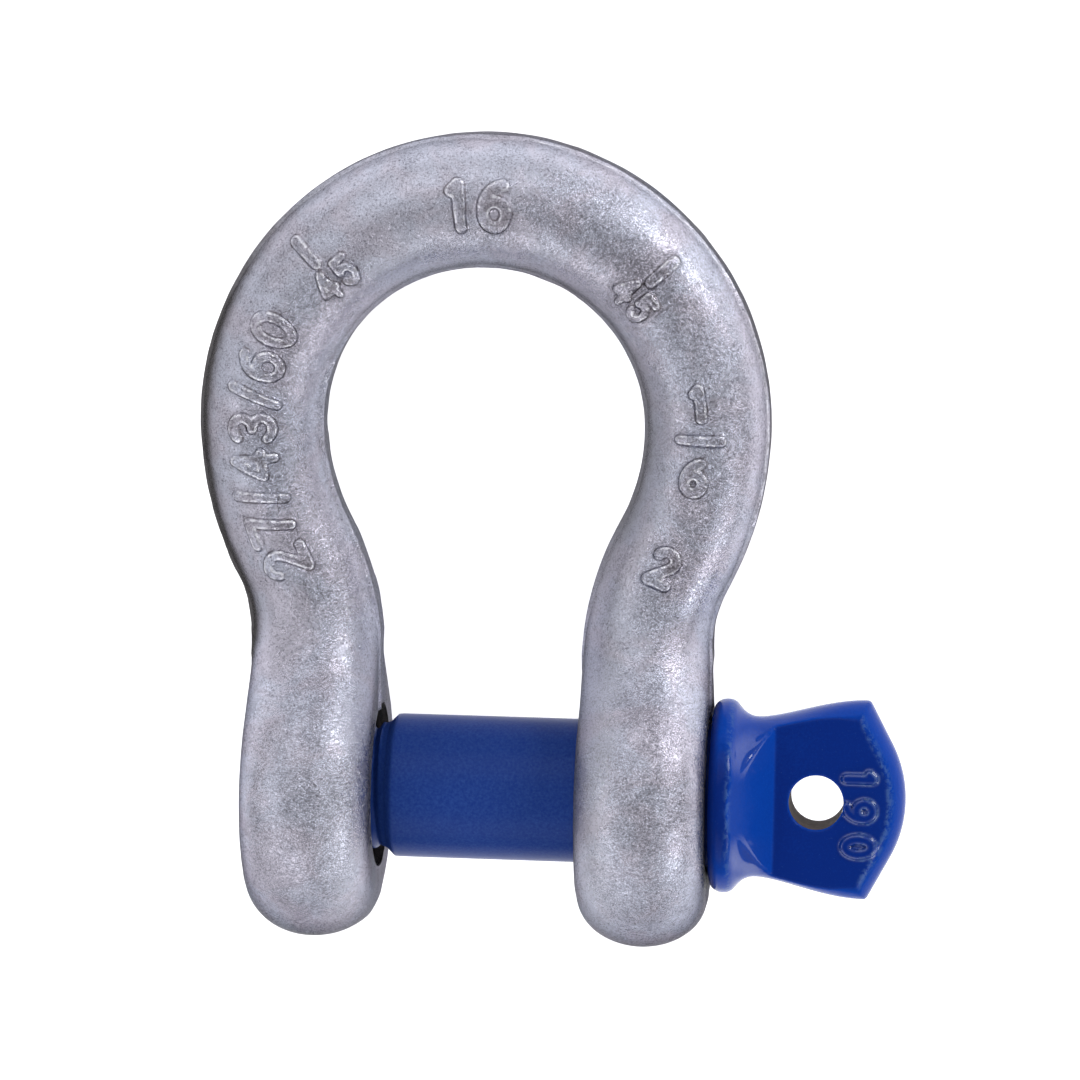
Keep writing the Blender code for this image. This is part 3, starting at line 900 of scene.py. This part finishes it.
def make_pin(bow, pin):
    """Screw pin: threaded end, shank, collar and forged eye, in one piece."""
    rows = head_rows(bow, pin)
    face = collar_face(bow, pin)
    head = body_from_rows("enamelled_screw_pin", rows, (face, 0, 0))
    weld = head.modifiers.new("weld", "WELD")
    weld.merge_threshold = 0.01 * MM
    finished(head)
    combine(head, press_cutter(bow, pin, 1), "DIFFERENCE")
    combine(head, press_cutter(bow, pin, -1), "DIFFERENCE")
    hole = pin.hole_diameter / 2
    reach = pin.eye_thickness
    cutter = turned_body("hole", np.array((-reach, reach)), np.array((hole, hole)), 96)
    cutter.rotation_euler.y = math.pi / 2
    cutter.location.x = face + pin.hole_setback
    bpy.context.view_layer.update()
    combine(head, cutter, "DIFFERENCE")

    remesh = head.modifiers.new("even_cells", "REMESH")
    remesh.mode = "VOXEL"
    remesh.voxel_size = pin.voxel
    remesh.use_smooth_shade = True
    soften = head.modifiers.new("soft_edges", "SMOOTH")
    soften.factor = 0.5
    soften.iterations = pin.softening
    finished(head)
    raise_eye_marks(head, bow, pin)
    along, radius = shank_rows(bow, pin)
    combine(head, turned_body("shank", along, radius, pin.ring_points), "UNION")
    return head


# Materials


class Wire:
    """A shader value; using it in an expression adds the Math nodes."""

    def __init__(self, surface, socket):
        self.surface = surface
        self.socket = socket

    def math(self, operation, *values):
        """The values through one Math node."""
        return self.surface.node("Math", {"operation": operation}, dict(enumerate(values)))

    def __add__(self, other):
        return self.math("ADD", self, other)

    __radd__ = __add__

    def __sub__(self, other):
        return self.math("SUBTRACT", self, other)

    def __rsub__(self, other):
        return self.math("SUBTRACT", other, self)

    def __mul__(self, other):
        return self.math("MULTIPLY", self, other)

    __rmul__ = __mul__

    def size(self):
        """This value without its sign."""
        return self.math("ABSOLUTE", self)

    def clamped(self):
        """This value held between 0 and 1."""
        return self.math("MAXIMUM", self.math("MINIMUM", self, 1.0), 0.0)


class Shading:
    """The shader of a material or of the world, built node by node."""

    def __init__(self, owner):
        self.owner = owner
        owner.use_nodes = True
        self.tree = owner.node_tree
        self.tree.nodes.clear()

    def node(self, kind, settings=None, inputs=None, output=0):
        """Add a node, set it up, fill its sockets, and give one output."""
        made = self.tree.nodes.new("ShaderNode" + kind)
        for name, value in (settings or {}).items():
            if name == "stops":
                self.set_stops(made.color_ramp, value)
            else:
                setattr(made, name, value)
        for name, value in (inputs or {}).items():
            if isinstance(value, Wire):
                self.tree.links.new(value.socket, made.inputs[name])
            else:
                made.inputs[name].default_value = value
        return Wire(self, made.outputs[output]) if made.outputs else made

    @staticmethod
    def set_stops(ramp, stops):
        """Give a colour ramp its stops: place and grey value."""
        while len(ramp.elements) < len(stops):
            ramp.elements.new(1.0)
        for element, (place, grey) in zip(ramp.elements, stops):
            element.position = place
            element.color = (grey, grey, grey, 1.0)

    def place(self):
        """The piece's own coordinates, in metres."""
        return self.node("TexCoord", output="Object")

    def stored(self, name):
        """A number kept on the mesh."""
        return self.node("Attribute", {"attribute_name": name}, output="Fac")

    def gap(self, name):
        """Distance in millimetres that gap_share kept on the mesh."""
        return (self.stored(name) - 0.5) * GAP_SPAN

    def noise(self, size, detail=2.0, roughness=0.5, distortion=0.0, place=None):
        """Noise from 0 to 1, with features of a real size in millimetres."""
        inputs = {
            "Vector": place or self.place(),
            "Scale": 1.0 / (size * MM),
            "Detail": detail,
            "Roughness": roughness,
            "Distortion": distortion,
        }
        return self.node("TexNoise", {"noise_dimensions": "3D"}, inputs)

    def rise(self, value, low, high):
        """0 up to low, 1 from high on, and a soft step between them."""
        settings = {"interpolation_type": "SMOOTHSTEP"}
        return self.node("MapRange", settings, {"Value": value, "From Min": low, "From Max": high})

    def fall(self, value, low, high):
        """1 up to low, 0 from high on, and a soft step between them."""
        return 1 - self.rise(value, low, high)

    def blend(self, share, first, second):
        """Mix of two colours."""
        inputs = {"Factor": share, 6: tinted(first), 7: tinted(second)}
        return self.node("Mix", {"data_type": "RGBA"}, inputs, output=2)

    def bump(self, height, depth, normal=None):
        """Normal bent by a height from 0 to 1, whose full depth is in metres."""
        inputs = {"Height": height, "Distance": depth, "Strength": 1.0}
        if normal:
            inputs["Normal"] = normal
        return self.node("Bump", inputs=inputs)

    def finish(self, shader, output="OutputMaterial"):
        """Send a shader to the output, and give the finished material or world."""
        self.node(output, inputs={"Surface": shader})
        return self.owner


def tinted(value):
    """A colour with its alpha, or a wire as it is."""
    return value if isinstance(value, Wire) else (*value, 1.0)


def zinc(finish):
    """Hot-dip galvanised steel: satin, mottled, finely wrinkled, stained round the marks, with painted
    shade and painted highlights.
    """
    surface = Shading(bpy.data.materials.new("hot_dip_zinc"))
    place = surface.place()
    depth = surface.node("SeparateXYZ", inputs={"Vector": place}, output="Z")
    across = surface.stored("across")
    way = {"X": surface.stored("along"), "Y": across * 0.7, "Z": depth * 0.7}
    crosswise = surface.node("CombineXYZ", inputs=way)

    # Patterns: large patches, wrinkles, grain and flecks
    broad = surface.noise(15, 3, 0.5, 0.3, place)
    patch = surface.noise(3.0, 5, 0.65, 0.8, place)
    worms = surface.noise(0.42, 2, 0.60, 1.4, crosswise)
    grain = surface.noise(0.25, 2, 0.70, 0.4, place)
    speck = surface.rise(surface.noise(0.30, 2, 0.7, 0.0, place), 0.57, 0.66)
    tint = surface.rise(surface.noise(8, 3, 0.6, 0.5, place), 0.38, 0.62)
    dashes = surface.rise(surface.noise(0.9, 3, 0.6, 0.4, place), 0.44, 0.58)
    ridges = surface.rise((worms - 0.5).size(), 0.0, 0.16)
    brown = surface.rise(patch, 0.44, 0.60)
    worn = surface.rise(broad * 0.4 + patch * 0.6, 0.40, 0.62)

    # Places: the marks and their edges, the flash line, the bar's middle and two sides, the bores
    gap = surface.gap("mark_gap")
    outline = surface.fall((gap - 0.06).size(), 0.04, 0.18)
    mark_edge = surface.fall((gap + 0.22).size(), 0.06, 0.22)
    on_mark = surface.fall(gap, -0.30, 0.0)
    near = surface.fall(gap, 0.2, 1.8)
    strip = surface.stored("dull")
    # Where the painted highlight runs along the flash line's edge
    line = surface.fall(surface.gap("rim_gap").size(), 0.0, 0.16)
    bright = (surface.stored("polish") + (broad - 0.5) * 0.5).clamped()
    shiny = bright * bright
    outside = surface.rise(across, 3 * MM, 6 * MM)
    middle = surface.fall(across.size(), 1.5 * MM, 4.5 * MM)
    inside = surface.fall(across, -6 * MM, -1 * MM)
    # Painted shade inside the bores
    bore = surface.fall(surface.gap("bore_gap"), -0.05, 0.05)

    # Colour, from the mottled zinc to the stains, the painted shade at the marks' foot, along the flash
    # line and in the bores, and the painted highlights and light
    plain = surface.blend(tint, finish.zinc_light, finish.zinc_warm)
    # Weathered patches, dark specks, darker mark tops, and a painted dark reflection down the middle of
    # the shiny zones
    mottle_and_dark_band = worn * 0.16 + speck * 0.42 + on_mark * 0.16 + shiny * middle * 0.30 + 0.02
    # Grain and random tone, darker along the wrinkles' creases and in their hollows
    grain_and_crease_tone = (grain - 0.5) * (2.6 - shiny * 2.1) + (patch - 0.5) * 0.4 - ridges * 0.10 + 0.05
    hollow = (0.5 - worms) * (bright + near * 0.7 + 0.2)
    tone = mottle_and_dark_band + grain_and_crease_tone + hollow * 1.3
    mottled_and_shaded = surface.blend(tone.clamped(), plain, finish.zinc_dark_and_shade)
    # Painted shade in a thin line at the marks' foot, browner where the stain patches lie; brown stain on
    # and near the marks
    foot_stain_and_shade = outline * (brown * 0.40 + 0.10)
    stain_and_shade = (foot_stain_and_shade + on_mark * brown * 0.16 + near * brown * 0.10).clamped()
    stained_and_shaded = surface.blend(stain_and_shade, mottled_and_shaded, finish.zinc_stain_and_shade)
    # Painted shade along the bar's sides at the flash line, less where the zinc is shiny
    edge_shade = (strip * (patch * 0.6 + 0.65) * (1 - shiny * 1.5)).clamped()
    edge_shaded = surface.blend(edge_shade, stained_and_shaded, finish.zinc_edge_shade)
    # Painted highlight: dashes on the flash line's edge and on the marks' edges, which are partly rubbed
    # too; painted light on the bar's inner sides
    painted_shine = line * (dashes * 0.4 + 0.2) + mark_edge * dashes * 0.70 + inside * 0.13
    rubbed = surface.blend(painted_shine, edge_shaded, finish.zinc_rubbed_and_highlighted)

    # Relief: wrinkles that are deepest where the zinc is bright, and a crisp step round the marks
    calm = (1 - outside * 0.75) * (1 - middle * shiny * 0.6)
    wrinkled = (bright * calm * 0.75 + near * 0.2 + 0.34 - shiny * 0.14) * (1 - on_mark * 0.4)
    height = (worms * 0.14 + ridges * 0.05) * wrinkled + grain * 0.03
    inputs = {
        "Base Color": surface.blend(bore, rubbed, finish.bore),
        "Metallic": 0.96 - worn * 0.08,
        "Roughness": patch * 0.12 + strip * 0.08 + 0.27 - bright * 0.17,
        "Specular Tint": tinted(finish.zinc_rim),
        "Normal": surface.bump(surface.fall(gap, -0.16, 0.16), 0.11 * MM, surface.bump(height, MM)),
    }
    return surface.finish(surface.node("BsdfPrincipled", inputs=inputs))


def enamel(finish):
    """Blue enamel with a faint orange peel, wettest in its hollows, with painted light on its sloping
    faces and painted highlights on its edges, and bare steel in the hole.
    """
    surface = Shading(bpy.data.materials.new("blue_enamel"))
    place = surface.place()
    broad = surface.noise(9, 2, 0.5, 0.0, place)
    peel = surface.noise(1.3, 2, 0.5, 0.0, place)
    dust = surface.noise(0.35, 3, 0.6, 0.0, place)
    speck = surface.rise(surface.noise(0.28, 2, 0.6, 0.0, place), 0.66, 0.76)
    rub = surface.noise(0.8, 3, 0.6, 0.5, place)
    rubbed = surface.stored("rubbed") * surface.rise(rub, 0.40, 0.62)
    worn = surface.stored("worn")
    gap = surface.gap("mark_gap")
    mark_edge = surface.fall(gap.size(), 0.24, 0.50)

    # Painted light on the sloping faces, and paler random tone
    tone = surface.stored("thin") * 0.75 + (broad - 0.5) * 0.25 + (dust - 0.5) * 0.40
    shade = surface.blend(tone.clamped(), finish.enamel, finish.enamel_pale_and_lit)
    # Dust and scratches on the worn shank, pale specks, and painted highlights on the collar's edge, the
    # eye's edge and the digits' edges
    pale = worn * (dust * 0.34 - 0.02) + speck * 0.12 + rubbed * 0.40 + mark_edge * rub * 0.08
    skin = surface.bump(peel * 0.8 + dust * 0.25, 0.03 * MM)
    painted = {
        "Base Color": surface.blend(pale.clamped(), shade, finish.dust),
        "Roughness": (dust * 0.08 + broad * 0.06 + 0.10 + worn * 0.14).clamped(),
        "Specular IOR Level": 0.06,
        "Coat Weight": (surface.stored("wet") + mark_edge).clamped(),
        "Coat Roughness": 0.06,
        "Normal": surface.bump(surface.fall(gap, -0.16, 0.16), 0.40 * MM, skin),
    }
    bare_steel = {
        "Base Color": surface.blend(rub, finish.steel, finish.steel_light),
        "Roughness": 0.7,
        "Specular IOR Level": 0.08,
        "Normal": surface.bump(rub, 0.05 * MM),
    }
    shaders = {
        0: surface.rise(surface.stored("bare") + (rub - 0.5) * 0.5, 0.42, 0.58),
        1: surface.node("BsdfPrincipled", inputs=painted),
        2: surface.node("BsdfPrincipled", inputs=bare_steel),
    }
    return surface.finish(surface.node("MixShader", inputs=shaders))


def table_top(finish, studio):
    """Plain pale table that keeps the shackle's shadow, and glows a little where it is seen."""
    surface = Shading(bpy.data.materials.new("pale_table"))
    tooth = surface.noise(6, 3, 0.5)
    inputs = {
        "Base Color": tinted(finish.table),
        "Roughness": 0.65,
        "Normal": surface.bump(tooth, 0.02 * MM),
    }
    matt = surface.node("BsdfPrincipled", inputs=inputs)
    glow = surface.node("Emission", inputs={"Color": (1, 1, 1, 1), "Strength": studio.table_glow})
    both = surface.node("AddShader", inputs={0: matt, 1: glow})
    rays = ("Is Camera Ray", "Is Glossy Ray", "Is Transmission Ray")
    direct, mirrored, through = (surface.node("LightPath", output=ray) for ray in rays)
    seen = (direct + mirrored + through).clamped()
    return surface.finish(surface.node("MixShader", inputs={0: seen, 1: matt, 2: both}))


# Operators


def settings_of(context):
    """Bow, pin, finish and studio settings of the scene."""
    return [getattr(context.scene, name) for name in SETTINGS]


def dress(body, bow, pin, material, smooth_angle):
    """Give a finished body its material, its smooth shading and its place."""
    body.data.materials.clear()
    body.data.materials.append(material)
    body.data.shade_smooth()
    body.data.set_sharp_from_angle(angle=smooth_angle)
    body.data.transform(lying_plane(bow, pin))


class SHACKLE_OT_bow(bpy.types.Operator):
    """Build the galvanised bow"""

    bl_idname = "shackle.bow"
    bl_label = "Build Bow"

    def execute(self, context):
        bow, pin, finish, _ = settings_of(context)
        body = make_bow(bow, pin)
        dress(body, bow, pin, zinc(finish), math.radians(40))
        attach(body, "bow")
        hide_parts("bow")
        return {"FINISHED"}


# The two hollows behind the collar, where the enamel is wettest: from its face and to each side
HOLLOW_SETBACK = 5.4 * MM
HOLLOW_SIDE = 6.6 * MM


def mark_enamel(body, bow, pin):
    """Keep where the enamel is bare, worn or wet, where light is painted on its sloping faces, where its
    edges are rubbed and carry painted highlights, and the digits' edges.
    """
    places = read_points(body.data)
    x, y, z = places.T
    x = x - collar_face(bow, pin)
    half = pin.eye_thickness / 2
    slope = 1 - np.abs(read_points(body.data, "normal")[:, 2])
    from_hole = np.hypot(x - pin.hole_setback, y) - pin.hole_diameter / 2
    bare = (np.abs(z) < half - 0.3 * MM) & (from_hole < 0.12 * MM)
    head = ease((x - 0.5 * MM) / MM)
    round_collar = ease((np.hypot(y, z) - pin.collar_diameter / 2 + 2 * MM) / MM)
    from_edge = (x - pin.collar_width + 0.9 * MM) / (0.35 * MM)
    collar_edge = np.exp(-(from_edge**2)) * round_collar
    plate_edge = ease(slope / 0.05) * ease((0.35 - slope) / 0.15)
    plate_end = ease((x - pin.eye_shoulder + 1.5 * MM) / MM) * (np.abs(z) > half - 0.8 * MM)
    from_hollow = np.hypot(x - HOLLOW_SETBACK, np.abs(y) - HOLLOW_SIDE)
    for name, values in (
        ("bare", bare),
        # Painted light on the head's sloping faces
        ("thin", head * ease(slope / 0.35)),
        ("worn", ease(-x / MM)),
        # Painted highlight on the collar's edge and the eye's edge, where they are also rubbed
        ("rubbed", np.maximum(collar_edge, plate_edge * plate_end)),
        ("mark_gap", gap_share(eye_mark_gap(places, bow, pin))),
        ("wet", 1 - ease((from_hollow - 1.2 * MM) / (2.4 * MM))),
    ):
        store(body.data, name, values)


class SHACKLE_OT_screw_pin(bpy.types.Operator):
    """Build the blue screw pin"""

    bl_idname = "shackle.screw_pin"
    bl_label = "Build Screw Pin"

    def execute(self, context):
        bow, pin, finish, _ = settings_of(context)
        body = make_pin(bow, pin)
        mark_enamel(body, bow, pin)
        body.data.transform(Matrix.Rotation(-pin.turned, 4, "X"))
        dress(body, bow, pin, enamel(finish), math.radians(50))
        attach(body, "pin")
        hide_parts("screw_pin")
        return {"FINISHED"}


# Each lamp: name, degrees round from the right, degrees above the table, width and height.
LAMPS = (
    ("key", 42, 18, (0.36, 0.22)),
    ("right", -35, 27, (0.34, 0.28)),
    ("far", 105, 34, (0.80, 0.66)),
    ("left", 176, 40, (0.44, 0.36)),
    ("near", 242, 40, (0.90, 0.60)),
)
LAMP_DISTANCE = 0.95

# From the table up to the solids' lowest point, so that the zinc's lumps stay clear of it
TABLE_DROP = 0.15 * MM


def soft_box(name, brightness, size, azimuth, elevation):
    """Area lamp that faces the shackle."""
    lamp = bpy.data.lights.new(name, "AREA")
    lamp.shape = "RECTANGLE"
    lamp.size, lamp.size_y = size
    lamp.energy = brightness * math.pi * lamp.size * lamp.size_y
    turn = Matrix.Rotation(math.radians(azimuth), 4, "Z")
    rise = Matrix.Rotation(-math.radians(elevation), 4, "Y")
    way = (turn @ rise).to_3x3() @ Vector((LAMP_DISTANCE, 0, 0))
    holder = add_object(name, lamp)
    holder.location = (cad_low + cad_high) / 2 + way
    holder.rotation_euler = (-way).to_track_quat("-Z", "Y").to_euler()


def soft_room(studio):
    """World with its soft light from the sides, less from above and little from low down."""
    room = Shading(bpy.data.worlds.new("studio"))
    way = room.node("TexCoord", output="Generated")
    upward = room.node("SeparateXYZ", inputs={"Vector": way}, output="Z")
    stops = (
        (0.05, studio.low_light),
        (0.45, studio.ambient),
        (0.60, studio.ambient),
        (0.95, studio.overhead),
    )
    level = room.node("ValToRGB", {"stops": stops}, {"Fac": upward})
    light = room.node("Background", inputs={"Color": level, "Strength": 1.0})
    return room.finish(light, "OutputWorld")


class SHACKLE_OT_studio(bpy.types.Operator):
    """Set the table, the lamps and the camera"""

    bl_idname = "shackle.studio"
    bl_label = "Set Studio"

    def execute(self, context):
        bow, pin, finish, studio = settings_of(context)
        half = studio.table_size / 2
        level = cad_low.z - TABLE_DROP
        corners = [(-half, -half, level), (half, -half, level), (half, half, level), (-half, half, level)]
        mesh = bpy.data.meshes.new("table")
        mesh.from_pydata(corners, [], [(0, 1, 2, 3)])
        mesh.materials.append(table_top(finish, studio))
        table = add_object("table", mesh)

        for name, azimuth, elevation, size in LAMPS:
            soft_box(name, getattr(studio, name), size, azimuth, elevation)
        context.scene.world = soft_room(studio)
        lens = bpy.data.cameras.new("camera")
        lens.lens = studio.lens
        lens.sensor_width = 36.0
        lens.clip_end = 10.0
        camera = add_object("camera", lens)
        turn = (
            Matrix.Rotation(studio.yaw, 4, "Y")
            @ Matrix.Rotation(-studio.pitch, 4, "X")
            @ Matrix.Rotation(studio.roll, 4, "Z")
        )
        back = Matrix.Translation((studio.aim_x, studio.aim_y, studio.distance))
        camera.matrix_world = lying_plane(bow, pin) @ turn @ back
        context.scene.camera = camera
        context.scene.view_settings.view_transform = "Standard"
        return {"FINISHED"}


class SHACKLE_PT_panel(bpy.types.Panel):
    """Sizes and steps of the shackle"""

    bl_label = "Bow Shackle"
    bl_idname = "SHACKLE_PT_panel"
    bl_space_type = "VIEW_3D"
    bl_region_type = "UI"
    bl_category = "Shackle"

    def draw(self, context):
        layout = self.layout
        for operator in OPERATORS:
            layout.operator(operator.bl_idname)
        for name, group in SETTINGS.items():
            box = layout.box()
            for setting in group.__annotations__:
                box.prop(getattr(context.scene, name), setting)


OPERATORS = (SHACKLE_OT_bow, SHACKLE_OT_screw_pin, SHACKLE_OT_studio)
CLASSES = (*SETTINGS.values(), *OPERATORS, SHACKLE_PT_panel)


def register():
    """Register the classes, and hang their settings on the scene."""
    for item in CLASSES:
        bpy.utils.register_class(item)
    for name, group in SETTINGS.items():
        setattr(bpy.types.Scene, name, PointerProperty(type=group))


def unregister():
    """Take the settings and the classes away again."""
    for name in SETTINGS:
        delattr(bpy.types.Scene, name)
    for item in reversed(CLASSES):
        bpy.utils.unregister_class(item)


def main():
    register()
    bpy.ops.shackle.bow()
    bpy.ops.shackle.screw_pin()
    bpy.ops.shackle.studio()


if __name__ == "__main__":
    main()
